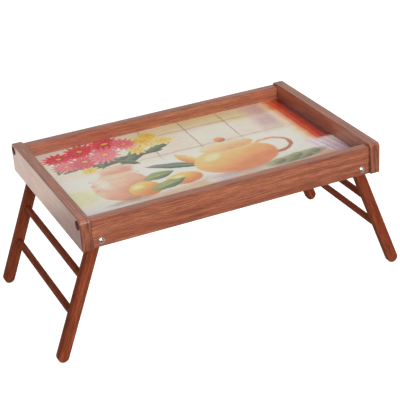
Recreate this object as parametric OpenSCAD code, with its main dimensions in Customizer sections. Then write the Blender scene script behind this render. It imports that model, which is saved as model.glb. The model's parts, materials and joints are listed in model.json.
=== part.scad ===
// Folding tray table: a shallow wooden tray with a picture panel, on two
// splayed leg frames that fold flat under the panel.
// Millimetres, +Z up. X runs along the tray and Y from front (-) to back (+).
// The origin is on the standing surface, below the middle of the tray.

/* [Tray] */
// Length of the tray, over the outer faces of the end boards
tray_length = 500; // [486:2:700]
// Width of the tray, which is the length of an end board
tray_width = 320; // [240:2:420]
// Height of the end boards' top edge above the standing surface
tray_height = 237; // [150:1:241]
// Height of an end board
end_board_h = 50; // [44:1:70]
// Thickness of an end board
end_board_t = 17; // [14:0.5:24]
// Radius of the end boards' two top corners
end_corner_r = 7; // [3:0.5:12]
// How far an end board stands proud of the rails at front and back
end_overhang = 3; // [0:0.5:8]
// Thickness of a rail
rail_t = 15; // [12:0.5:20]
// How far the rails' top edge lies below the end boards' top edge
rail_drop = 4; // [0:0.5:8]
// Radius on the long edges of the boards and rails
edge_r = 1.2; // [0.4:0.1:2]

/* [Panel] */
// Depth from the rails' top edge down to the face of the panel
panel_drop = 21.6; // [12:0.2:26]
// Thickness of the fibreboard panel
panel_t = 3; // [2.5:0.5:4]
// Thickness of the picture film bonded on the panel
film_t = 0.4; // [0.2:0.1:0.6]
// Gap left around the picture film, next to the boards and rails
film_gap = 0.2; // [0.1:0.1:0.5]
// Depth of the groove that holds the panel's edges
groove_depth = 4; // [3:0.5:6]
// Room between the panel's edge and the bottom of its groove
groove_play = 0.5; // [0.2:0.1:1]
// Room above the panel inside its groove
groove_slack = 0.2; // [0.1:0.1:0.4]

/* [Legs] */
// Width of a leg slat
leg_w = 18; // [14:0.5:22]
// Thickness of a leg slat
leg_t = 12; // [10:0.5:16]
// Radius on the long edges of a leg slat
leg_edge_r = 1.5; // [0.5:0.1:2.5]
// Outward lean of the legs from upright, in degrees
splay = 21; // [12:0.5:28]
// Gap between a spread leg and the end board's lower corner that stops it
stop_gap = 0.3; // [0.2:0.05:1]
// Gap between a folded leg and the underside of the panel
fold_gap = 1.6; // [1:0.1:4]
// Play between a leg and the washers at each side of it
side_play = 0.3; // [0.2:0.05:0.6]
// Diameter of a crossbar
crossbar_d = 11; // [8:0.5:13]
// Distance from the pivot down the leg to the upper crossbar
upper_bar_at = 73; // [50:1:90]
// Distance between the two crossbars
bar_spacing = 60; // [40:1:66]
// Depth of a crossbar's socket in the leg
socket_depth = 8; // [5:0.5:9]

/* [Pivots] */
// Diameter of the pivot screw's shank
pivot_d = 6; // [4:0.5:8]
// Running clearance around the shank in the leg, on the radius
pivot_play = 0.05; // [0.02:0.01:0.1]
// Clearance around the shank in the rail, on the radius
rail_hole_play = 0.2; // [0.1:0.05:0.5]
// Diameter of the pivot screw's head
pivot_head_d = 10.5; // [9:0.5:14]
// Height of the pivot screw's head
pivot_head_h = 3.2; // [2.5:0.1:4.5]
// Outer diameter of the plastic spacer between rail and leg
spacer_d = 14; // [12:0.5:16]
// Thickness of the plastic spacer
spacer_t = 1; // [0.8:0.1:2]
// Outer diameter of the steel washer under the nut
washer_d = 12; // [11:0.5:14]
// Thickness of the steel washer
washer_t = 1.6; // [1:0.1:2]
// Width of the lock nut across its flats
nut_flats = 10; // [9:0.5:13]
// Height of the lock nut
nut_h = 6; // [5:0.5:8]
// How far the screw's end stands out of the nut
thread_end = 3; // [1:0.5:5]
// Pitch of the pivot screw's thread
thread_pitch = 1; // [0.8:0.1:1.25]

/* [Corner joints] */
// Distance from the end board's top edge down to the corner screw
corner_screw_drop = 10.5; // [10:0.5:14]
// Diameter of the corner screw's shank
corner_screw_d = 5; // [4:0.5:6]
// Length of the corner screw
corner_screw_len = 50; // [36:1:60]
// Diameter of the corner screw's countersunk head
corner_head_d = 9.5; // [8:0.5:11]
// Width of the hexagon socket in the corner screw's head, across its flats
socket_flats = 4; // [3:0.5:4]
// Depth of the hexagon socket
hex_depth = 2.5; // [2:0.5:3]
// Diameter of the plastic cover cap
cap_d = 14.5; // [12:0.5:16]
// Height of the cover cap
cap_h = 1.8; // [1:0.2:3]
// Diameter of the hidden wooden dowel
dowel_d = 6; // [4:0.5:6]
// Length of the hidden wooden dowel
dowel_len = 24; // [18:1:30]
// Wood left between the dowel and the pivot screw's hole
dowel_wall = 1.3; // [1:0.1:2]

/* [Hidden] */
$fn = 64;
WOOD = "#a35a36";
LEG_WOOD = "#8a452c";
FIBREBOARD = "#9a7a52";
FILM = "#ecd9c4";
STEEL = "#c9cbcd";
NYLON = "#e8e6df";
CAP = "#4a2a1e";
BEECH = "#d8b98a";

// Ends of the tray: -1 is left, +1 is right. Sides: -1 is front, +1 is back.
LEFT = -1;
RIGHT = 1;
FRONT = -1;
BACK = 1;

// Heights
board_z = tray_height - end_board_h;
rail_top = tray_height - rail_drop;
rail_h = rail_top - board_z;
film_top = rail_top - panel_drop;
panel_top = film_top - film_t;
panel_z = panel_top - panel_t;

// Plan
board_in_x = tray_length / 2 - end_board_t;
rail_out_y = tray_width / 2 - end_overhang;
rail_in_y = rail_out_y - rail_t;
rail_mid_y = rail_out_y - rail_t / 2;

// Pivots: the leg folds up under the panel, and rests against the lower
// inner corner of the end board when it is spread.
pivot_z = panel_z - fold_gap - leg_w / 2;
pivot_rise = pivot_z - board_z;
stop_reach = leg_w / 2 + stop_gap + pivot_rise * sin(splay);
pivot_x = board_in_x - stop_reach / cos(splay);
leg_len = (pivot_z - leg_w / 2) / cos(splay);
leg_out_y = rail_in_y - spacer_t - side_play;
leg_in_y = leg_out_y - leg_t;
washer_y = leg_in_y - side_play;
nut_y = washer_y - washer_t;
screw_end_y = nut_y - nut_h - thread_end;

// Corner screws and dowels
corner_screw_z = tray_height - corner_screw_drop;
dowel_z = pivot_z + pivot_d / 2 + rail_hole_play + dowel_wall + dowel_d / 2;
dowel_y = (rail_out_y + rail_in_y + groove_depth) / 2;

// ---- Shared outlines and placing ----

// A rectangle from the origin with all four corners rounded.
module rounded_rect(size, r) {
    translate([r, 0]) square([size.x - 2 * r, size.y]);
    translate([0, r]) square([size.x, size.y - 2 * r]);
    for (x = [r, size.x - r], y = [r, size.y - r])
        translate([x, y]) circle(r);
}

// Mirrors its children, drawn for the right end and the back side.
module at_corner(end, side) {
    scale_x = end == RIGHT ? 0 : 1;
    scale_y = side == BACK ? 0 : 1;
    mirror([scale_x, 0, 0]) mirror([0, scale_y, 0]) children();
}

// Turns a shape drawn along +Z so that it runs outwards along +Y from y.
module outwards_y(x, y, z) {
    translate([x, y, z]) rotate([-90, 0, 0]) children();
}

// Turns a shape drawn along +Z so that it runs outwards along +X from x.
module outwards_x(x, y, z) {
    translate([x, y, z]) rotate([0, 90, 0]) children();
}

// ---- Tray ----

// The right end board's blank: rounded top corners, and eased long edges.
module board_blank() {
    mid = tray_width / 2 - end_corner_r;
    low = end_board_h - end_corner_r;
    bar = [end_board_t, end_board_h];

    // Middle stretch, eased along its top and bottom edges
    translate([board_in_x, mid, board_z]) rotate([90, 0, 0])
        linear_extrude(2 * mid) rounded_rect(bar, edge_r);

    // Both ends below the rounded corners, eased along their upright edges
    for (side = [FRONT, BACK]) intersection() {
        translate([board_in_x, -tray_width / 2, board_z])
            linear_extrude(low) rounded_rect([end_board_t, tray_width], edge_r);
        translate([board_in_x, tray_width / 2, board_z]) rotate([90, 0, 0])
            linear_extrude(tray_width) rounded_rect(bar, edge_r);
        translate([board_in_x, side == BACK ? mid : -tray_width / 2, board_z])
            cube([end_board_t, end_corner_r, low]);
    }

    // The rounded corners, eased around their rims
    for (side = [FRONT, BACK])
        translate([board_in_x, side * mid, board_z + low]) rotate([0, 90, 0])
            rotate([0, 0, side == BACK ? 90 : 180])
                rotate_extrude(angle = 90) intersection() {
                    square([end_corner_r, end_board_t]);
                    translate([-end_corner_r, 0])
                        rounded_rect([2 * end_corner_r, end_board_t], edge_r);
                }
}

module end_board(end) {
    color(WOOD) at_corner(end, BACK) difference() {
        board_blank();
        panel_groove();
        for (side = [FRONT, BACK]) mirror([0, side == BACK ? 0 : 1, 0]) {
            corner_screw_space();
            outwards_x(dowel_x(), dowel_y, dowel_z) cylinder(d = dowel_d, h = dowel_len);
        }
    }
}

module rail(side) {
    color(WOOD) at_corner(RIGHT, side) difference() {
        translate([-board_in_x, rail_in_y, board_z])
            rotate([90, 0, 90]) linear_extrude(2 * board_in_x)
                rounded_rect([rail_t, rail_h], edge_r);
        panel_groove();
        for (end = [LEFT, RIGHT]) mirror([end == RIGHT ? 0 : 1, 0, 0]) {
            corner_screw_space();
            outwards_x(dowel_x(), dowel_y, dowel_z) cylinder(d = dowel_d, h = dowel_len);
            outwards_y(pivot_x, rail_in_y - 1, pivot_z)
                cylinder(r = pivot_d / 2 + rail_hole_play, h = rail_t + 2);
        }
    }
}

// The slot that runs round the inside of the tray and holds the panel's edges.
module panel_groove() {
    size = [2 * (board_in_x + groove_depth), 2 * (rail_in_y + groove_depth)];
    translate([-size.x / 2, -size.y / 2, panel_z])
        cube([size.x, size.y, panel_t + groove_slack]);
}

module tray_panel() {
    grip = groove_depth - groove_play;
    size = [2 * (board_in_x + grip), 2 * (rail_in_y + grip)];
    color(FIBREBOARD) translate([-size.x / 2, -size.y / 2, panel_z])
        cube([size.x, size.y, panel_t]);
}

module picture_film() {
    size = [2 * (board_in_x - film_gap), 2 * (rail_in_y - film_gap)];
    color(FILM) translate([-size.x / 2, -size.y / 2, panel_top])
        cube([size.x, size.y, film_t]);
}

// ---- Leg frames ----

// Places children, drawn down the leg from the pivot along +X, on a spread leg.
module along_leg(y) {
    translate([pivot_x, y, pivot_z]) rotate([0, 90 - splay, 0]) children();
}

// One end of a leg: half a disc with an eased rim, on the side away from +X.
module leg_round_end() {
    rotate([90, 0, 0]) rotate([0, 0, 90])
        rotate_extrude(angle = 180) intersection() {
            square([leg_w / 2, leg_t]);
            translate([-leg_w / 2, 0]) rounded_rect([leg_w, leg_t], leg_edge_r);
        }
}

module leg_slat(end, side) {
    color(LEG_WOOD) at_corner(end, side) difference() {
        along_leg(leg_out_y) {
            translate([0, -leg_t, -leg_w / 2]) rotate([90, 0, 90])
                linear_extrude(leg_len) rounded_rect([leg_t, leg_w], leg_edge_r);
            leg_round_end();
            translate([leg_len, 0, 0]) rotate([0, 180, 0]) leg_round_end();
        }
        outwards_y(pivot_x, leg_in_y - 1, pivot_z)
            cylinder(r = pivot_d / 2 + pivot_play, h = leg_t + 2);
        for (at = [upper_bar_at, upper_bar_at + bar_spacing])
            along_leg(0) translate([at, 0, 0]) crossbar_rod();
    }
}

// A crossbar that fills the sockets of both legs.
module crossbar_rod() {
    reach = leg_in_y + socket_depth;
    outwards_y(0, -reach, 0) cylinder(d = crossbar_d, h = 2 * reach);
}

module crossbar(end, at) {
    color(LEG_WOOD) at_corner(end, BACK)
        along_leg(0) translate([at, 0, 0]) crossbar_rod();
}

// ---- Pivot hardware, drawn for the right end and the back side ----

module pivot_screw(end, side) {
    color(STEEL) at_corner(end, side) difference() {
        union() {
            outwards_y(pivot_x, rail_out_y, pivot_z) pan_head();
            outwards_y(pivot_x, nut_y - nut_h, pivot_z)
                cylinder(d = pivot_d, h = rail_out_y - nut_y + nut_h);
            outwards_y(pivot_x, screw_end_y, pivot_z) thread_tip();
        }
        outwards_y(pivot_x, rail_out_y, pivot_z) cross_recess();
    }
}

// A low domed head, standing on z = 0.
module pan_head() {
    rim_h = pivot_head_h * 0.35;
    rise = pivot_head_h - rim_h;
    dome_r = (pow(pivot_head_d / 2, 2) + rise * rise) / (2 * rise);
    rotate_extrude() intersection() {
        square([pivot_head_d / 2, pivot_head_h]);
        union() {
            square([pivot_head_d / 2, rim_h]);
            translate([0, pivot_head_h - dome_r]) circle(dome_r, $fn = 128);
        }
    }
}

// A tapered cross cut down into the head.
module cross_recess() {
    slot_w = pivot_head_d * 0.14;
    top = pivot_head_d * 0.3;
    bottom = pivot_head_d * 0.11;
    floor_z = pivot_head_h * 0.2;
    for (turn = [45, 135]) rotate([0, 0, turn]) translate([0, slot_w / 2, 0])
        rotate([90, 0, 0]) linear_extrude(slot_w) polygon([
            [-bottom, floor_z], [bottom, floor_z],
            [top, pivot_head_h + 1], [-top, pivot_head_h + 1],
        ]);
}

// The threaded end that stands out of the nut: rings of a vee thread.
module thread_tip() {
    depth = thread_pitch * 0.55;
    rings = floor(thread_end / thread_pitch);
    core = pivot_d / 2 - depth;
    rotate_extrude() polygon(concat(
        [[0, 0], [core, 0]],
        [for (i = [0:rings - 1], p = [[core, 0.1], [pivot_d / 2, 0.5], [core, 0.9]])
            [p.x, (i + p.y) * thread_pitch]],
        [[core, thread_end], [0, thread_end]]
    ));
}

// A flat ring on z = 0.
module ring(outer_d, inner_d, h) {
    difference() {
        cylinder(d = outer_d, h = h);
        translate([0, 0, -1]) cylinder(d = inner_d, h = h + 2);
    }
}

module spacer(end, side) {
    color(NYLON) at_corner(end, side)
        outwards_y(pivot_x, rail_in_y - spacer_t, pivot_z)
            ring(spacer_d, pivot_d + 2 * rail_hole_play, spacer_t);
}

module washer(end, side) {
    color(STEEL) at_corner(end, side)
        outwards_y(pivot_x, nut_y, pivot_z)
            ring(washer_d, pivot_d + 2 * rail_hole_play, washer_t);
}

// A hexagon nut with a turned collar for its locking ring, and eased corners.
module lock_nut(end, side) {
    collar_h = nut_h * 0.25;
    corner_d = nut_flats / cos(30);
    ease = (corner_d - nut_flats) / 2;
    color(STEEL) at_corner(end, side)
        outwards_y(pivot_x, nut_y - nut_h, pivot_z) difference() {
            union() {
                cylinder(d = nut_flats - 1, h = nut_h);
                intersection() {
                    translate([0, 0, collar_h])
                        cylinder(d = corner_d, h = nut_h - collar_h, $fn = 6);
                    translate([0, 0, collar_h])
                        cylinder(d1 = nut_flats, d2 = corner_d + 2 * nut_h, h = ease + nut_h);
                }
            }
            translate([0, 0, -1]) cylinder(d = pivot_d, h = nut_h + 2);
        }
}

// ---- Corner joints, drawn for the right end and the back side ----

function dowel_x() = board_in_x - dowel_len / 2;

// The countersunk screw's solid outline, head towards +X.
module corner_screw_space() {
    cone_h = (corner_head_d - corner_screw_d) / 2;
    outwards_x(tray_length / 2 - corner_screw_len, rail_mid_y, corner_screw_z)
        rotate_extrude() polygon([
            [0, 0],
            [corner_screw_d / 2, corner_screw_d],
            [corner_screw_d / 2, corner_screw_len - cone_h],
            [corner_head_d / 2, corner_screw_len],
            [0, corner_screw_len],
        ]);
}

// A hexagon pin that runs inwards from the end board's face.
module hex_pin(flats, depth) {
    outwards_x(tray_length / 2 - depth, rail_mid_y, corner_screw_z)
        cylinder(d = flats / cos(30), h = depth, $fn = 6);
}

module corner_screw(end, side) {
    color(STEEL) at_corner(end, side) difference() {
        corner_screw_space();
        hex_pin(socket_flats, hex_depth);
    }
}

// A domed cap over the screw's head, with a pin that grips its socket.
module cover_cap(end, side) {
    rim_h = cap_h * 0.4;
    rise = cap_h - rim_h;
    dome_r = (pow(cap_d / 2, 2) + rise * rise) / (2 * rise);
    color(CAP) at_corner(end, side) {
        outwards_x(tray_length / 2, rail_mid_y, corner_screw_z)
            rotate_extrude() intersection() {
                square([cap_d / 2, cap_h]);
                union() {
                    square([cap_d / 2, rim_h]);
                    translate([0, cap_h - dome_r]) circle(dome_r, $fn = 256);
                }
            }
        hex_pin(socket_flats, hex_depth);
    }
}

module dowel(end, side) {
    tip = dowel_d * 0.15;
    color(BEECH) at_corner(end, side)
        outwards_x(dowel_x(), dowel_y, dowel_z) rotate_extrude() polygon([
            [0, 0],
            [dowel_d / 2 - tip, 0],
            [dowel_d / 2, tip],
            [dowel_d / 2, dowel_len - tip],
            [dowel_d / 2 - tip, dowel_len],
            [0, dowel_len],
        ]);
}

// ---- Nodes ----

end_board(LEFT);  // end_board_left
end_board(RIGHT);  // end_board_right
rail(FRONT);  // rail_front
rail(BACK);  // rail_back
tray_panel();
picture_film();
leg_slat(LEFT, FRONT);  // leg_left_front
leg_slat(LEFT, BACK);  // leg_left_back
leg_slat(RIGHT, FRONT);  // leg_right_front
leg_slat(RIGHT, BACK);  // leg_right_back
crossbar(LEFT, upper_bar_at);  // crossbar_left_upper
crossbar(LEFT, upper_bar_at + bar_spacing);  // crossbar_left_lower
crossbar(RIGHT, upper_bar_at);  // crossbar_right_upper
crossbar(RIGHT, upper_bar_at + bar_spacing);  // crossbar_right_lower
pivot_screw(LEFT, FRONT);  // pivot_screw_left_front
pivot_screw(LEFT, BACK);  // pivot_screw_left_back
pivot_screw(RIGHT, FRONT);  // pivot_screw_right_front
pivot_screw(RIGHT, BACK);  // pivot_screw_right_back
spacer(LEFT, FRONT);  // spacer_left_front
spacer(LEFT, BACK);  // spacer_left_back
spacer(RIGHT, FRONT);  // spacer_right_front
spacer(RIGHT, BACK);  // spacer_right_back
washer(LEFT, FRONT);  // washer_left_front
washer(LEFT, BACK);  // washer_left_back
washer(RIGHT, FRONT);  // washer_right_front
washer(RIGHT, BACK);  // washer_right_back
lock_nut(LEFT, FRONT);  // lock_nut_left_front
lock_nut(LEFT, BACK);  // lock_nut_left_back
lock_nut(RIGHT, FRONT);  // lock_nut_right_front
lock_nut(RIGHT, BACK);  // lock_nut_right_back
corner_screw(LEFT, FRONT);  // corner_screw_left_front
corner_screw(LEFT, BACK);  // corner_screw_left_back
corner_screw(RIGHT, FRONT);  // corner_screw_right_front
corner_screw(RIGHT, BACK);  // corner_screw_right_back
cover_cap(LEFT, FRONT);  // cover_cap_left_front
cover_cap(LEFT, BACK);  // cover_cap_left_back
cover_cap(RIGHT, FRONT);  // cover_cap_right_front
cover_cap(RIGHT, BACK);  // cover_cap_right_back
dowel(LEFT, FRONT);  // dowel_left_front
dowel(LEFT, BACK);  // dowel_left_back
dowel(RIGHT, FRONT);  // dowel_right_front
dowel(RIGHT, BACK);  // dowel_right_back
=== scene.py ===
"""Looks for the folding tray table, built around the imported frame.

Stained wood, chromed pivot screws, a bare fibreboard underside and a glossy painted still life.
"""

import json
import math

import bpy
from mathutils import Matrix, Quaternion, Vector


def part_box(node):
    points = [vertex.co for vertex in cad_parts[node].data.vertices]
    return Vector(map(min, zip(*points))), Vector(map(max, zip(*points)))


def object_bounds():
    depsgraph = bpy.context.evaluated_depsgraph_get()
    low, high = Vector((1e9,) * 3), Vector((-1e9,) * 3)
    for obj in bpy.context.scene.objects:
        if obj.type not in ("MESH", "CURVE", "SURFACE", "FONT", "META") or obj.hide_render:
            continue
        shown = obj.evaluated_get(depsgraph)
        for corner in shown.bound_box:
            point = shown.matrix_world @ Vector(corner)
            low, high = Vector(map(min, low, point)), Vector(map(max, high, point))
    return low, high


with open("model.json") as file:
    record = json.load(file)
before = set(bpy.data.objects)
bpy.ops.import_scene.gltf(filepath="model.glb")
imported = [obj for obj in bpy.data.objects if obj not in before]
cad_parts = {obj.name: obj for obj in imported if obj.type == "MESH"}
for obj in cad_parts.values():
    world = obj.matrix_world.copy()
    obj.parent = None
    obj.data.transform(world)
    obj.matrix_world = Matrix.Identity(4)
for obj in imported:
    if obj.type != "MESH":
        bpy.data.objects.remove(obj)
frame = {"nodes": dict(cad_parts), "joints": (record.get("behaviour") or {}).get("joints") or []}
cad_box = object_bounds()
MM = 0.001

# The view: angles in degrees, lengths in metres
CAMERA_AZIMUTH, CAMERA_ELEVATION, CAMERA_ROLL = -23.75, 27.0, -3.65
CAMERA_DISTANCE = 1.973
CAMERA_AIM = Vector((0.0085, 0.0, 0.0135))  # from the middle of the CAD box
LENS = 108.7  # millimetres

FLOOR_REACH = 8.0  # metres from the middle to each edge


def rgb(red, green, blue):
    """A colour given as it looks on screen, 0 to 255, as the linear RGBA that nodes take."""

    def linear(c):
        c /= 255
        return c / 12.92 if c <= 0.04045 else ((c + 0.055) / 1.055) ** 2.4

    return (linear(red), linear(green), linear(blue), 1.0)


# ---- Shader helper ----


class Shader:
    """A node material. Nodes are added in the order in which they are worked out."""

    def __init__(self, name):
        self.material = bpy.data.materials.new(name)
        self.material.use_nodes = True
        self.tree = self.material.node_tree
        self.tree.nodes.clear()

    def put(self, socket, value):
        """Links a socket to another node's output, or sets its value."""
        if isinstance(value, bpy.types.NodeSocket):
            self.tree.links.new(value, socket)
        elif value is not None:
            socket.default_value = value

    def node(self, kind, inputs=None, **settings):
        """Adds a node. Settings are its properties, and inputs are values or links by socket."""
        made = self.tree.nodes.new("ShaderNode" + kind)
        for key, value in settings.items():
            setattr(made, key, value)
        for key, value in (inputs or {}).items():
            self.put(made.inputs[key], value)
        return made

    def maths(self, operation, a, b=None, clamp=False):
        return self.node("Math", {0: a, 1: b}, operation=operation, use_clamp=clamp).outputs[0]

    def vector(self, operation, a, b=None):
        made = self.node("VectorMath", {0: a, 1: b}, operation=operation)
        return made.outputs["Value" if operation == "LENGTH" else "Vector"]

    def object_place(self):
        return self.node("TexCoord").outputs["Object"]

    def scaled(self, vector, scale, turn=(0, 0, 0), move=(0, 0, 0)):
        """Stretches by scale, then turns, then moves."""
        inputs = {"Vector": vector, "Location": move, "Rotation": turn, "Scale": scale}
        return self.node("Mapping", inputs, vector_type="POINT").outputs[0]

    def dot(self, a, b):
        return self.node("VectorMath", {0: a, 1: b}, operation="DOT_PRODUCT").outputs["Value"]

    def within(self, vector, centre, size, angle=0.0):
        """Two coordinates inside a shape: 0 at its centre and 1 at its edge along its own axes."""
        turned = math.radians(angle)
        along = (math.cos(turned) / size[0], math.sin(turned) / size[0], 0)
        across = (-math.sin(turned) / size[1], math.cos(turned) / size[1], 0)
        offset = self.vector("SUBTRACT", vector, (*centre, 0))
        return self.dot(offset, along), self.dot(offset, across)

    def radius(self, u, v):
        return self.vector("LENGTH", self.node("CombineXYZ", {0: u, 1: v}).outputs[0])

    def noise(self, vector, detail=2.0, roughness=0.5, distortion=0.0, colour=False):
        inputs = {
            "Vector": vector,
            "Scale": 1.0,
            "Detail": detail,
            "Roughness": roughness,
            "Distortion": distortion,
        }
        return self.node("TexNoise", inputs).outputs["Color" if colour else "Fac"]

    def fade(self, value, low, high, to_low=0.0, to_high=1.0):
        """Smoothly maps low..high to to_low..to_high, and holds those values beyond."""
        inputs = {0: value, 1: low, 2: high, 3: to_low, 4: to_high}
        made = self.node("MapRange", inputs, interpolation_type="SMOOTHSTEP", clamp=False)
        return made.outputs[0]

    def mix(self, share, a, b, blend="MIX"):
        made = self.node("Mix", data_type="RGBA", blend_type=blend)
        self.put(made.inputs[0], share)
        self.put(made.inputs[6], a)
        self.put(made.inputs[7], b)
        return made.outputs[2]

    def bump(self, height, distance, strength):
        inputs = {"Strength": strength, "Distance": distance, "Height": height}
        return self.node("Bump", inputs).outputs[0]

    def finish(self, **sockets):
        """Ends in a Principled shader with these sockets, and returns the material."""
        shader = self.node("BsdfPrincipled")
        for name, value in sockets.items():
            self.put(shader.inputs[name.replace("_", " ")], value)
        end = self.node("OutputMaterial")
        self.tree.links.new(shader.outputs[0], end.inputs["Surface"])
        return self.material


# ---- Wood ----

# Dark, middle and light tones
TRAY_TONES = (rgb(112, 50, 30), rgb(180, 99, 66), rgb(202, 124, 88))
LEG_TONES = (rgb(92, 38, 23), rgb(148, 68, 41), rgb(170, 88, 56))
BEECH_TONES = (rgb(176, 140, 98), rgb(212, 178, 132), rgb(228, 200, 160))

# How fast the growth rings change across a board and up it, per millimetre
END_BOARD_LAYERS = (0.22, 0.03)
RAIL_LAYERS = (0.1, 0.14)
LEG_LAYERS = (0.12, 0.12)

# How far apart in the wood, in millimetres, two pieces are cut, so that no two look alike
SEED_STEP = Vector((731.0, 57.0, 113.0))
PER_METRE = (1000, 1000, 1000)  # metres to millimetres
END_DEPTH = 2.4 * MM  # end grain's darker stain, and the painted seam shade next to a joining part, start this far from the end
END_FULL = 0.8 * MM  # and are at their full depth here
ROUND = 1.0  # half width given for a round bar, which has no long edges to shade


def edge_shade(shader, local, half):
    """1 along the edges of a box with these half sizes in metres, and 0 on its faces: where painted
    shade goes.
    """
    inward = shader.vector("SUBTRACT", half, shader.vector("ABSOLUTE", local))
    x, y, z = shader.node("SeparateXYZ", {0: inward}).outputs
    lesser = shader.maths("MINIMUM", x, y)
    greater = shader.maths("MAXIMUM", x, y)
    second = shader.maths("MAXIMUM", lesser, shader.maths("MINIMUM", greater, z))
    return shader.fade(second, 2.4 * MM, 0.3 * MM)


def wood(name, place, half, tones, seed, layers=LEG_LAYERS, ends=0.4, gloss=0.0):
    """Stained wood. place(shader) gives metres in the piece's own frame, with the grain along X.

    half is the piece's half size along that frame's axes, whose edges get painted shade. ends is how
    dark the end grain and the painted seam shade at the ends are, and gloss is how much lacquer
    there is, from 0 to 1.
    """
    shader = Shader(name)
    local = place(shader)
    grain = shader.scaled(local, PER_METRE, move=tuple(seed * SEED_STEP))
    # A slow sway keeps the grain from being ruled lines.
    sway = shader.noise(shader.scaled(grain, (0.006, 0.02, 0.02)), detail=1.0, colour=True)
    reach = (0.0, *(min(6.0, 0.6 / rate) for rate in layers))
    sway = shader.vector("MULTIPLY", shader.vector("SUBTRACT", sway, (0.5, 0.5, 0.5)), reach)
    grain = shader.vector("ADD", grain, sway)
    bands = shader.noise(shader.scaled(grain, (0.004, *layers)), detail=2.0, roughness=0.5)
    streaks = shader.noise(shader.scaled(grain, (0.011, 3 * layers[0], 3 * layers[1])), detail=3.0)
    fibres = shader.noise(shader.scaled(grain, (0.03, 1.1, 1.1)), detail=3.0, roughness=0.65)
    pores = shader.noise(shader.scaled(grain, (0.12, 2.6, 2.6), move=(40, 0, 0)), detail=1.0)
    pores = shader.fade(pores, 0.56, 0.68)
    dark, middle, light = tones
    colour = shader.mix(shader.fade(bands, 0.35, 0.65), middle, light)
    colour = shader.mix(shader.fade(streaks, 0.54, 0.36, 0.0, 0.34), colour, dark)
    colour = shader.mix(shader.fade(fibres, 0.56, 0.40, 0.0, 0.65), colour, dark)
    colour = shader.mix(shader.maths("MULTIPLY", pores, 0.6), colour, dark)
    # Painted shade along every edge, darker in some places than others.
    edges = edge_shade(shader, local, half)
    edge_shade_breakup = shader.noise(shader.scaled(grain, (0.03, 0.2, 0.2)), detail=2.0)
    edges = shader.maths("MULTIPLY", edges, shader.fade(edge_shade_breakup, 0.3, 0.7, 0.1, 0.6))
    colour = shader.mix(edges, colour, dark)
    # End grain drinks more stain, in stripes that follow the rings. The same darkening is also painted
    # shade: a dark seam line where the rails meet the end boards.
    away = shader.maths("ABSOLUTE", shader.dot(local, (1, 0, 0)))
    end_stain_and_seam_shade = shader.fade(away, half[0] - END_DEPTH, half[0] - END_FULL, 0.0, ends)
    stripes = shader.fade(bands, 0.42, 0.58, 1.35, 0.45)
    deep = tuple(0.6 * channel for channel in dark[:3]) + (1.0,)
    colour = shader.mix(shader.maths("MULTIPLY", end_stain_and_seam_shade, stripes, clamp=True), colour, deep)
    height = shader.maths("SUBTRACT", fibres, shader.maths("MULTIPLY", pores, 0.6))
    smudges = shader.noise(shader.scaled(local, (22, 22, 22)), detail=3.0)
    rough = 0.67 - 0.3 * gloss
    return shader.finish(
        Base_Color=colour,
        Roughness=shader.fade(smudges, 0.3, 0.7, rough, rough + 0.08),
        Specular_IOR_Level=0.1 + 0.4 * gloss,
        Coat_Weight=0.9 * gloss,
        Coat_Roughness=0.3,
        Normal=shader.bump(height, 0.12 * MM, 0.5),
    )


def box_place(node, grain_axis):
    """A board's own frame: from its box's middle, turned so that the grain runs along X."""
    low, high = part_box(node)
    middle, half = (low + high) / 2, (high - low) / 2
    turn = (0, 0, 0)
    if grain_axis == "Y":
        turn = (0, 0, -math.pi / 2)
        half = Vector((half.y, half.x, half.z))

    def place(shader):
        centred = shader.vector("SUBTRACT", shader.object_place(), tuple(middle))
        return shader.scaled(centred, (1, 1, 1), turn=turn)

    return place, tuple(half)


def leg_place(node, splay):
    """A leg's own frame: from its middle, with X down the leg and Z across its width."""
    low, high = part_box(node)
    middle = (low + high) / 2
    outward = 1 if middle.x > 0 else -1
    span = high - low
    # A slat of width w with round ends leaves a box w longer than its axis each way.
    width = (span.x * math.cos(splay) - span.z * math.sin(splay)) / (math.cos(splay) - math.sin(splay))
    length = (span.z - width) / math.cos(splay) + width
    turn = math.pi / 2 - outward * splay

    def place(shader):
        centred = shader.vector("SUBTRACT", shader.object_place(), tuple(middle))
        return shader.scaled(centred, (1, 1, 1), turn=(0, -turn, 0))

    return place, (length / 2, span.y / 2, width / 2)


# ---- Metal and plastic ----


def metal(name, colour, roughness, scratch, fleck):
    """Plated steel. scratch is how strong its fine lines are, and fleck how dark its cloudy parts."""
    shader = Shader(name)
    local = shader.object_place()
    lines = shader.noise(shader.scaled(local, (9000, 1200, 9000)), detail=2.0)
    cloud = shader.noise(shader.scaled(local, (260, 260, 260)), detail=3.0)
    darker = tuple(c * fleck for c in colour[:3]) + (1.0,)
    return shader.finish(
        Base_Color=shader.mix(shader.fade(cloud, 0.35, 0.7), colour, darker),
        Metallic=1.0,
        Roughness=shader.fade(cloud, 0.3, 0.7, roughness * 0.7, roughness * 1.4),
        Normal=shader.bump(lines, 0.02 * MM, scratch),
    )


def plastic(name, colour, roughness):
    """Moulded plastic with a fine eggshell texture and a little uneven colour."""
    shader = Shader(name)
    local = shader.object_place()
    skin = shader.noise(shader.scaled(local, (3200, 3200, 3200)), detail=2.0)
    cloud = shader.noise(shader.scaled(local, (180, 180, 180)), detail=3.0)
    darker = tuple(c * 0.75 for c in colour[:3]) + (1.0,)
    return shader.finish(
        Base_Color=shader.mix(shader.fade(cloud, 0.3, 0.7), colour, darker),
        Roughness=shader.fade(cloud, 0.3, 0.7, roughness * 0.85, roughness * 1.15),
        Specular_IOR_Level=0.3,
        Normal=shader.bump(skin, 0.03 * MM, 0.5),
    )


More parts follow.
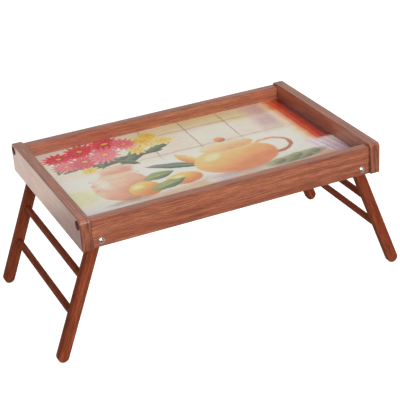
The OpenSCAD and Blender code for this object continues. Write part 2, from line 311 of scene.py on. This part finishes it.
def fibreboard(name):
    """Bare hard fibreboard: matted brown fibres with a fine mesh pressed in its face."""
    shader = Shader(name)
    local = shader.object_place()
    felt = shader.scaled(local, (700, 700, 700))
    mat = shader.noise(felt, detail=5.0, roughness=0.7, distortion=0.6)
    tufts = shader.noise(shader.scaled(local, (60, 60, 60)), detail=4.0)
    weave = shader.node("TexVoronoi", {"Vector": local, "Scale": 700.0}).outputs["Distance"]
    colour = shader.mix(shader.fade(mat, 0.35, 0.65), rgb(120, 86, 54), rgb(168, 132, 92))
    colour = shader.mix(shader.fade(tufts, 0.45, 0.75, 0.0, 0.5), colour, rgb(104, 74, 48))
    height = shader.maths("ADD", mat, weave)
    return shader.finish(
        Base_Color=colour,
        Roughness=shader.fade(mat, 0.3, 0.7, 0.7, 0.9),
        Normal=shader.bump(height, 0.15 * MM, 0.6),
    )


# ---- The painted still life ----


class Painting:
    """Paint laid on in order over a plain ground.

    Centres are millimetres from the panel's middle, and sizes are half widths and half heights.
    """

    def __init__(self, shader, ground):
        self.shader = shader
        flat = (PER_METRE[0], PER_METRE[1], 0)
        place = shader.vector("MULTIPLY", shader.object_place(), flat)
        wobble = shader.noise(shader.scaled(place, (0.06, 0.06, 0.06)), detail=1.5, colour=True)
        wobble = shader.vector("SUBTRACT", wobble, (0.5, 0.5, 0.5))
        wobble = shader.vector("MULTIPLY", wobble, (6, 6, 0))
        self.place = shader.vector("ADD", place, wobble)
        self.colour = ground

    def tint(self, u, v, tones):
        """One colour, or a light and a dark one shaded from upper left to lower right."""
        if not isinstance(tones, list):
            return tones
        slope = self.shader.maths("SUBTRACT", self.shader.maths("MULTIPLY", u, 0.6), v)
        return self.shader.mix(self.shader.fade(slope, -0.9, 0.9), *tones)

    def lay(self, reach, soft, u, v, tones, strength):
        """Paints where reach, which is 1 on the outline, is below 1."""
        mask = self.shader.fade(reach, 1 + soft, 1 - soft, 0.0, strength)
        self.colour = self.shader.mix(mask, self.colour, self.tint(u, v, tones))

    def soft_edge(self, size, soft):
        """Millimetres of softness as a share of the shape's smaller size."""
        return min(0.9, soft / min(size))

    def oval(self, centre, size, tones, angle=0, soft=1.5, strength=1.0):
        u, v = self.shader.within(self.place, centre, size, angle)
        reach = self.shader.radius(u, v)
        self.lay(reach, self.soft_edge(size, soft), u, v, tones, strength)

    def block(self, centre, size, tones, angle=0, soft=1.5, strength=1.0):
        u, v = self.shader.within(self.place, centre, size, angle)
        wide = self.shader.maths("ABSOLUTE", u)
        high = self.shader.maths("ABSOLUTE", v)
        reach = self.shader.maths("MAXIMUM", wide, high)
        self.lay(reach, self.soft_edge(size, soft), u, v, tones, strength)

    def leaf(self, centre, size, tones, angle=0, soft=1.2, strength=1.0):
        """Pointed at both ends: wide where the square of its length leaves room."""
        u, v = self.shader.within(self.place, centre, size, angle)
        along = self.shader.maths("MULTIPLY", u, u)
        reach = self.shader.maths("ADD", along, self.shader.maths("ABSOLUTE", v))
        self.lay(reach, self.soft_edge(size, soft), u, v, tones, strength)

    def ring(self, centre, radius, width, tones, squash=1.0, angle=0, soft=1.0, strength=1.0):
        u, v = self.shader.within(self.place, centre, (radius, radius * squash), angle)
        off = self.shader.maths("SUBTRACT", self.shader.radius(u, v), 1.0)
        reach = self.shader.maths("MULTIPLY", self.shader.maths("ABSOLUTE", off), 2 * radius / width)
        self.lay(reach, self.soft_edge((width / 2,), soft), u, v, tones, strength)

    def flower(self, centre, radius, petals, tones, squash=0.8, angle=0):
        """A round bloom with narrow petals, streaked from its heart outwards."""
        u, v = self.shader.within(self.place, centre, (radius, radius * squash), angle)
        around = self.shader.maths("ARCTAN2", v, u)
        wave = self.shader.maths("COSINE", self.shader.maths("MULTIPLY", around, petals))
        out = self.shader.radius(u, v)
        limit = self.shader.maths("ADD", self.shader.maths("MULTIPLY", wave, 0.17), 0.83)
        reach = self.shader.maths("DIVIDE", out, limit)
        light, dark = tones
        streak = self.shader.maths("MULTIPLY", self.shader.fade(wave, 0.6, -0.8), 0.7)
        deep = self.shader.fade(out, 0.75, 0.15)
        colour = self.shader.mix(self.shader.maths("MAXIMUM", streak, deep), light, dark)
        self.lay(reach, self.soft_edge((radius,), 1.6), u, v, colour, 1.0)


def paint_room(art):
    """A pale window with thin bars, a white cloth and a red curtain."""
    art.block((-20, 92), (260, 62), [rgb(246, 240, 224), rgb(232, 220, 206)], soft=14)
    for x, y, wide, high, colour in (
        (70, 130, 66, 18, rgb(222, 214, 150)),
        (-16, 126, 50, 18, rgb(228, 220, 172)),
        (142, 112, 46, 24, rgb(226, 220, 168)),
        (4, 74, 34, 20, rgb(238, 214, 196)),
        (70, 66, 52, 20, rgb(248, 232, 220)),
    ):
        art.oval((x, y), (wide, high), colour, soft=15, strength=0.8)
    art.block((0, -40), (260, 60), [rgb(240, 244, 230), rgb(226, 230, 224)], soft=12)
    bar = rgb(158, 148, 146)
    for x in (-40, 34, 106):
        art.block((x, 88), (1.5, 60), bar, angle=-2, soft=1.1, strength=0.8)
    for y in (107, 33):
        art.block((45, y), (125, 1.4), bar, angle=-1, soft=1.1, strength=0.75)
    art.block((176, 96), (24, 60), [rgb(214, 184, 182), rgb(188, 150, 152)], soft=14, strength=0.9)
    art.block((228, 48), (40, 96), rgb(255, 212, 176), soft=8)
    for left, colour in (
        (198, rgb(246, 150, 98)),
        (204, rgb(228, 84, 36)),
        (214, rgb(196, 44, 16)),
        (223, rgb(110, 18, 8)),
    ):
        art.block((left + 30, 48), (30, 94), colour, soft=4.5)
    for x in (209, 218, 226):
        art.block((x, 48), (1.2, 92), rgb(88, 16, 10), soft=1.2, strength=0.35)


def paint_cloth(art):
    """A peach table edge, with lilac linen at both front corners and a white fold between them."""
    art.oval((-40, -132), (150, 46), [rgb(232, 196, 166), rgb(212, 160, 130)], angle=3, soft=7)
    art.oval((-208, -116), (72, 26), [rgb(240, 232, 246), rgb(206, 190, 222)], angle=-10, soft=8)
    for x in (-226, -206, -188):
        art.leaf((x, -116), (18, 3), rgb(182, 166, 204), angle=58, soft=2, strength=0.6)
    art.block((216, -84), (34, 40), [rgb(232, 220, 234), rgb(196, 178, 204)], soft=5)
    for x in (196, 207, 218, 229):
        art.block((x, -84), (1.4, 38), rgb(160, 138, 168), angle=9, soft=1.4, strength=0.6)
    art.oval((14, -86), (30, 15), [rgb(250, 246, 250), rgb(214, 200, 216)], angle=12, soft=3)
    art.oval((-214, -44), (36, 28), rgb(214, 224, 170), soft=12, strength=0.85)


def paint_vase(art):
    """A plain round pink vase with soft bands."""
    pink = [rgb(246, 206, 180), rgb(214, 140, 112)]
    art.oval((-136, -36), (46, 52), pink)
    art.block((-124, 24), (27, 15), [rgb(240, 200, 176), rgb(212, 150, 124)], angle=-6, soft=3)
    art.ring((-122, 34), 25, 3, rgb(250, 224, 204), squash=0.3, strength=0.8)
    for y, colour in ((-8, rgb(224, 112, 100)), (-24, rgb(236, 140, 120)), (-42, rgb(206, 112, 92))):
        art.ring((-136, y + 8), 41, 5, colour, squash=0.18, soft=2, strength=0.5)
    art.oval((-160, -14), (9, 20), rgb(255, 238, 226), angle=12, soft=6, strength=0.75)
    art.oval((-112, -60), (16, 24), rgb(196, 112, 84), angle=-20, soft=10, strength=0.6)
    art.oval((-140, -90), (34, 6), rgb(170, 118, 96), soft=4, strength=0.7)


LEAVES = (
    (-176, 62, 28, 24), (-150, 52, 30, -16), (-112, 54, 34, 10), (-82, 50, 32, 28), (-58, 60, 32, -8),
    (-34, 66, 28, 16), (-96, 40, 24, -42), (-196, 74, 26, 62), (-66, 76, 30, 40), (-130, 60, 26, 70),
)  # x, y, length, angle
BLOOMS = (
    (-44, 96, 28, 10, "yellow"), (-14, 86, 21, 9, "yellow"), (-66, 76, 21, 9, "yellow"),
    (-30, 116, 20, 9, "yellow"), (-160, 42, 17, 8, "yellow"), (-190, 108, 30, 15, "red"),
    (-104, 124, 34, 17, "red"), (-150, 118, 34, 16, "red"), (-188, 74, 26, 13, "pink"),
    (-156, 76, 31, 15, "red"), (-76, 108, 27, 14, "pink"), (-118, 84, 34, 16, "pink"),
)  # x, y, radius, petals, kind
PETALS = {
    "yellow": (rgb(252, 220, 112), rgb(226, 156, 48)),
    "pink": (rgb(250, 130, 146), rgb(214, 44, 80)),
    "red": (rgb(236, 74, 98), rgb(160, 14, 48)),
}  # light and dark


def paint_bouquet(art):
    """Dark leaves, round pink and red blooms, and a few yellow ones."""
    green = [rgb(96, 122, 84), rgb(40, 62, 50)]
    for x, y, length, angle in LEAVES:
        art.leaf((x, y), (length, length * 0.3), green, angle=angle)
    for x, y, radius, petals, kind in BLOOMS:
        light, dark = PETALS[kind]
        art.flower((x, y), radius, petals, (light, dark), angle=x)
        art.flower((x + 1, y + 1), radius * 0.56, petals - 3, (light, dark), angle=x + 20)
        art.oval((x + 1, y + 1), (radius * 0.15, radius * 0.12), rgb(240, 184, 70))


def paint_fruit(art):
    """Two oranges and a pale peach, with leaves, and one long dark leaf."""
    orange = [rgb(254, 200, 100), rgb(222, 120, 40)]
    olive = [rgb(146, 164, 98), rgb(78, 102, 60)]
    art.leaf((-34, -14), (52, 10), [rgb(96, 118, 100), rgb(52, 74, 64)], angle=-24)
    art.leaf((-34, -14), (48, 1.2), rgb(140, 160, 136), angle=-24, soft=1)
    art.oval((-28, -118), (34, 20), [rgb(250, 206, 146), rgb(228, 150, 84)])
    art.oval((-42, -62), (30, 20), orange)
    art.leaf((-74, -32), (28, 13), olive, angle=8)
    art.oval((-108, -64), (26, 25), orange)
    art.leaf((-72, -68), (33, 13), olive, angle=12)
    for x, y, angle in ((-74, -32, 8), (-72, -68, 12)):
        art.leaf((x, y), (26, 1.1), rgb(176, 190, 130), angle=angle, soft=1)
    art.oval((-118, -54), (8, 6), rgb(255, 236, 176), soft=4, strength=0.85)
    art.oval((-50, -54), (9, 5), rgb(255, 236, 176), soft=4, strength=0.85)


def paint_teapot(art):
    """A plain round orange teapot and a bowl of olives."""
    clay = [rgb(252, 196, 112), rgb(224, 124, 52)]
    rust = [rgb(232, 150, 84), rgb(168, 84, 40)]
    art.oval((60, -84), (74, 9), rgb(176, 132, 108), soft=6, strength=0.7)
    art.ring((132, -26), 30, 8, rust, squash=0.9)
    art.leaf((-8, -4), (32, 11), clay, angle=-62)
    art.oval((60, -38), (72, 48), clay)
    art.oval((66, 12), (48, 18), [rgb(248, 214, 168), rgb(228, 164, 106)], angle=-2)
    art.oval((66, 38), (9, 10), rust)
    art.ring((62, 6), 67, 3.5, rgb(255, 230, 186), squash=0.24, soft=1.5, strength=0.8)
    art.oval((84, -62), (34, 16), rgb(206, 108, 46), angle=12, soft=12, strength=0.5)
    art.oval((26, -18), (15, 9), rgb(255, 236, 184), angle=24, soft=6, strength=0.8)
    art.oval((144, -108), (62, 34), [rgb(236, 196, 164), rgb(198, 142, 112)], angle=6)
    green = [rgb(150, 160, 118), rgb(104, 118, 84)]
    art.oval((144, -86), (56, 14), green, angle=6, soft=3, strength=0.9)
    for x, y in ((112, -86), (134, -90), (158, -88), (178, -80), (146, -80)):
        art.oval((x, y), (11, 8), [rgb(142, 152, 92), rgb(78, 92, 54)], soft=2)


def picture(name):
    """Glossy film over a loose painting: a wash, brush strokes, and a faint ripple in the gloss."""
    shader = Shader(name)
    art = Painting(shader, rgb(232, 226, 212))
    for paint in (paint_room, paint_cloth, paint_vase, paint_bouquet, paint_fruit, paint_teapot):
        paint(art)
    wash = shader.noise(shader.scaled(art.place, (0.035, 0.05, 0.05)), detail=4.0, roughness=0.6)
    strokes = shader.noise(shader.scaled(art.place, (0.06, 0.3, 0.3), turn=(0, 0, 0.5)), detail=3.0)
    cream, shade, gain = rgb(255, 240, 226), rgb(220, 208, 200), (1.22, 1.2, 1.16, 1)
    colour = shader.mix(shader.fade(wash, 0.3, 0.7, 0.0, 0.5), art.colour, cream, "SOFT_LIGHT")
    colour = shader.mix(shader.fade(strokes, 0.45, 0.7, 0.0, 0.2), colour, shade, "MULTIPLY")
    colour = shader.mix(1.0, colour, gain, "MULTIPLY")
    colour.node.clamp_result = True
    ripple = shader.noise(shader.scaled(shader.object_place(), (16, 16, 16)), detail=2.0)
    return shader.finish(
        Base_Color=colour,
        Roughness=shader.fade(wash, 0.3, 0.7, 0.16, 0.24),
        Specular_IOR_Level=0.5,
        Coat_Weight=1.0,
        Coat_Roughness=0.06,
        Normal=shader.bump(ripple, 0.2 * MM, 0.3),
    )


# ---- Materials on the CAD nodes ----


def wear(node, material):
    """Puts one material on all of a node's slots."""
    mesh = frame["nodes"][node].data
    if not mesh.materials:
        mesh.materials.append(material)
    for index in range(len(mesh.materials)):
        mesh.materials[index] = material


def nodes_named(start):
    """The CAD nodes whose names begin so, in a fixed order."""
    return sorted(n for n in frame["nodes"] if n.startswith(start))


def dress_wood():
    """Each wooden piece gets a material of its own. The boards are lacquered, and the legs are not."""
    # A leg folds through its splay and then a right angle, so its range gives the splay.
    reach = max(j["range_deg"][1] for j in frame["joints"] if j["type"] == "hinge")
    splay = math.radians(reach - 90)
    for seed, node in enumerate(nodes_named("end_board"), 1):
        place, half = box_place(node, "Y")
        name = "wood_" + node
        # The end boards' darkened ends are end-grain stain, and painted shade on the narrow step beside
        # each rail.
        wear(node, wood(name, place, half, TRAY_TONES, seed, END_BOARD_LAYERS, ends=0.42, gloss=1.0))
    for seed, node in enumerate(nodes_named("rail"), 5):
        place, half = box_place(node, "X")
        name = "wood_" + node
        # On the rails the darkened ends are mostly painted shade: the dark seam line where each rail
        # meets an end board.
        wear(node, wood(name, place, half, TRAY_TONES, seed, RAIL_LAYERS, ends=0.95, gloss=1.0))
    for seed, node in enumerate(nodes_named("leg_"), 11):
        place, half = leg_place(node, splay)
        wear(node, wood("wood_" + node, place, half, LEG_TONES, seed))
    for seed, node in enumerate(nodes_named("crossbar"), 21):
        place, half = box_place(node, "Y")
        wear(node, wood("wood_" + node, place, (half[0], ROUND, ROUND), LEG_TONES, seed))
    for seed, node in enumerate(nodes_named("dowel"), 31):
        place, half = box_place(node, "X")
        wear(node, wood("wood_" + node, place, (half[0], ROUND, ROUND), BEECH_TONES, seed))


def dress_hardware():
    chrome = metal("chrome", rgb(236, 224, 217), 0.22, 0.25, 0.86)
    zinc = metal("zinc_plate", rgb(196, 199, 204), 0.32, 0.5, 0.8)
    cap_brown = plastic("cap_brown", rgb(104, 46, 32), 0.7)
    nylon = plastic("nylon", rgb(232, 230, 222), 0.5)
    for start, material in (
        ("pivot_screw", chrome),
        ("corner_screw", zinc),
        ("washer", zinc),
        ("lock_nut", zinc),
        ("cover_cap", cap_brown),
        ("spacer", nylon),
    ):
        for node in nodes_named(start):
            wear(node, material)


# ---- Studio ----


def floor_material(colour, glow):
    """Matt, and lit from within like a light table. From below it is clear and hides nothing."""
    shader = Shader("floor")
    below = shader.node("NewGeometry").outputs["Backfacing"]
    return shader.finish(
        Base_Color=colour,
        Roughness=0.9,
        Emission_Color=(1, 1, 1, 1),
        Emission_Strength=glow,
        Alpha=shader.maths("SUBTRACT", 1.0, below),
    )


def make_floor():
    """A plain pale floor that only the camera sees. The world and the lamps light the table."""
    mesh = bpy.data.meshes.new("floor")
    corners = [(x * FLOOR_REACH, y * FLOOR_REACH, 0) for x, y in ((-1, -1), (1, -1), (1, 1), (-1, 1))]
    mesh.from_pydata(corners, [], [(0, 1, 2, 3)])
    mesh.materials.append(floor_material((0.85, 0.85, 0.85, 1), 0.8))
    floor = bpy.data.objects.new("floor", mesh)
    floor.visible_diffuse = False
    floor.visible_glossy = False
    bpy.context.scene.collection.objects.link(floor)


def area_light(name, place, aim, size, power, colour=(1, 1, 1)):
    """A rectangular soft light that faces aim."""
    lamp = bpy.data.lights.new(name, "AREA")
    lamp.color = colour
    lamp.shape = "RECTANGLE"
    lamp.size, lamp.size_y = size
    lamp.energy = power
    holder = bpy.data.objects.new(name, lamp)
    holder.location = place
    holder.rotation_mode = "QUATERNION"
    holder.rotation_quaternion = (aim - Vector(place)).to_track_quat("-Z", "Y")
    bpy.context.scene.collection.objects.link(holder)


def make_lamps():
    """A large soft box in front, a small one above, and a warm card lying on the floor behind."""
    middle = (cad_box[0] + cad_box[1]) / 2
    area_light("front_soft_box", (-0.35, -2.4, 0.9), middle, (1.6, 1.0), 44)
    area_light("top_soft_box", (0.7, -0.9, 1.9), middle, (0.7, 0.7), 5)
    card = Vector((-0.75, 0.83, 0.002))
    area_light("bounce_card", card, card + Vector((0, 0, 1)), (1.2, 1.0), 3.2, (1, 0.84, 0.72))


def make_world():
    """A warm white sweep behind the table, and the darker room in front of it."""
    world = bpy.data.worlds.new("studio")
    world.use_nodes = True
    nodes, links = world.node_tree.nodes, world.node_tree.links
    background = nodes["Background"]
    background.inputs["Color"].default_value = (1, 0.965, 0.93, 1)
    way = nodes.new("ShaderNodeTexCoord")
    towards = nodes.new("ShaderNodeVectorMath")
    towards.operation = "DOT_PRODUCT"
    towards.inputs[1].default_value = (0.35, 0.94, 0)
    sweep = nodes.new("ShaderNodeMapRange")
    links.new(way.outputs["Generated"], towards.inputs[0])
    links.new(towards.outputs["Value"], sweep.inputs["Value"])
    for socket, value in (("From Min", -0.6), ("From Max", 0.5), ("To Min", 0.2), ("To Max", 0.64)):
        sweep.inputs[socket].default_value = value
    links.new(sweep.outputs[0], background.inputs["Strength"])
    bpy.context.scene.world = world
    bpy.context.scene.view_settings.view_transform = "Standard"


def make_camera():
    """Looks at a point near the middle of the table, rolled about the line of sight."""
    azimuth, elevation = math.radians(CAMERA_AZIMUTH), math.radians(CAMERA_ELEVATION)
    level_part = math.cos(elevation)
    back = Vector((math.sin(azimuth) * level_part, -math.cos(azimuth) * level_part, math.sin(elevation)))
    data = bpy.data.cameras.new("camera")
    data.lens = LENS
    data.sensor_width = 36
    data.clip_start, data.clip_end = 0.05, 50
    camera = bpy.data.objects.new("camera", data)
    camera.location = (cad_box[0] + cad_box[1]) / 2 + CAMERA_AIM + back * CAMERA_DISTANCE
    camera.rotation_mode = "QUATERNION"
    level = (-back).to_track_quat("-Z", "Y")
    camera.rotation_quaternion = level @ Quaternion((0, 0, 1), math.radians(CAMERA_ROLL))
    bpy.context.scene.collection.objects.link(camera)
    bpy.context.scene.camera = camera


make_camera()
dress_wood()
dress_hardware()
wear("tray_panel", fibreboard("fibreboard"))
wear("picture_film", picture("picture"))
make_floor()
make_lamps()
make_world()
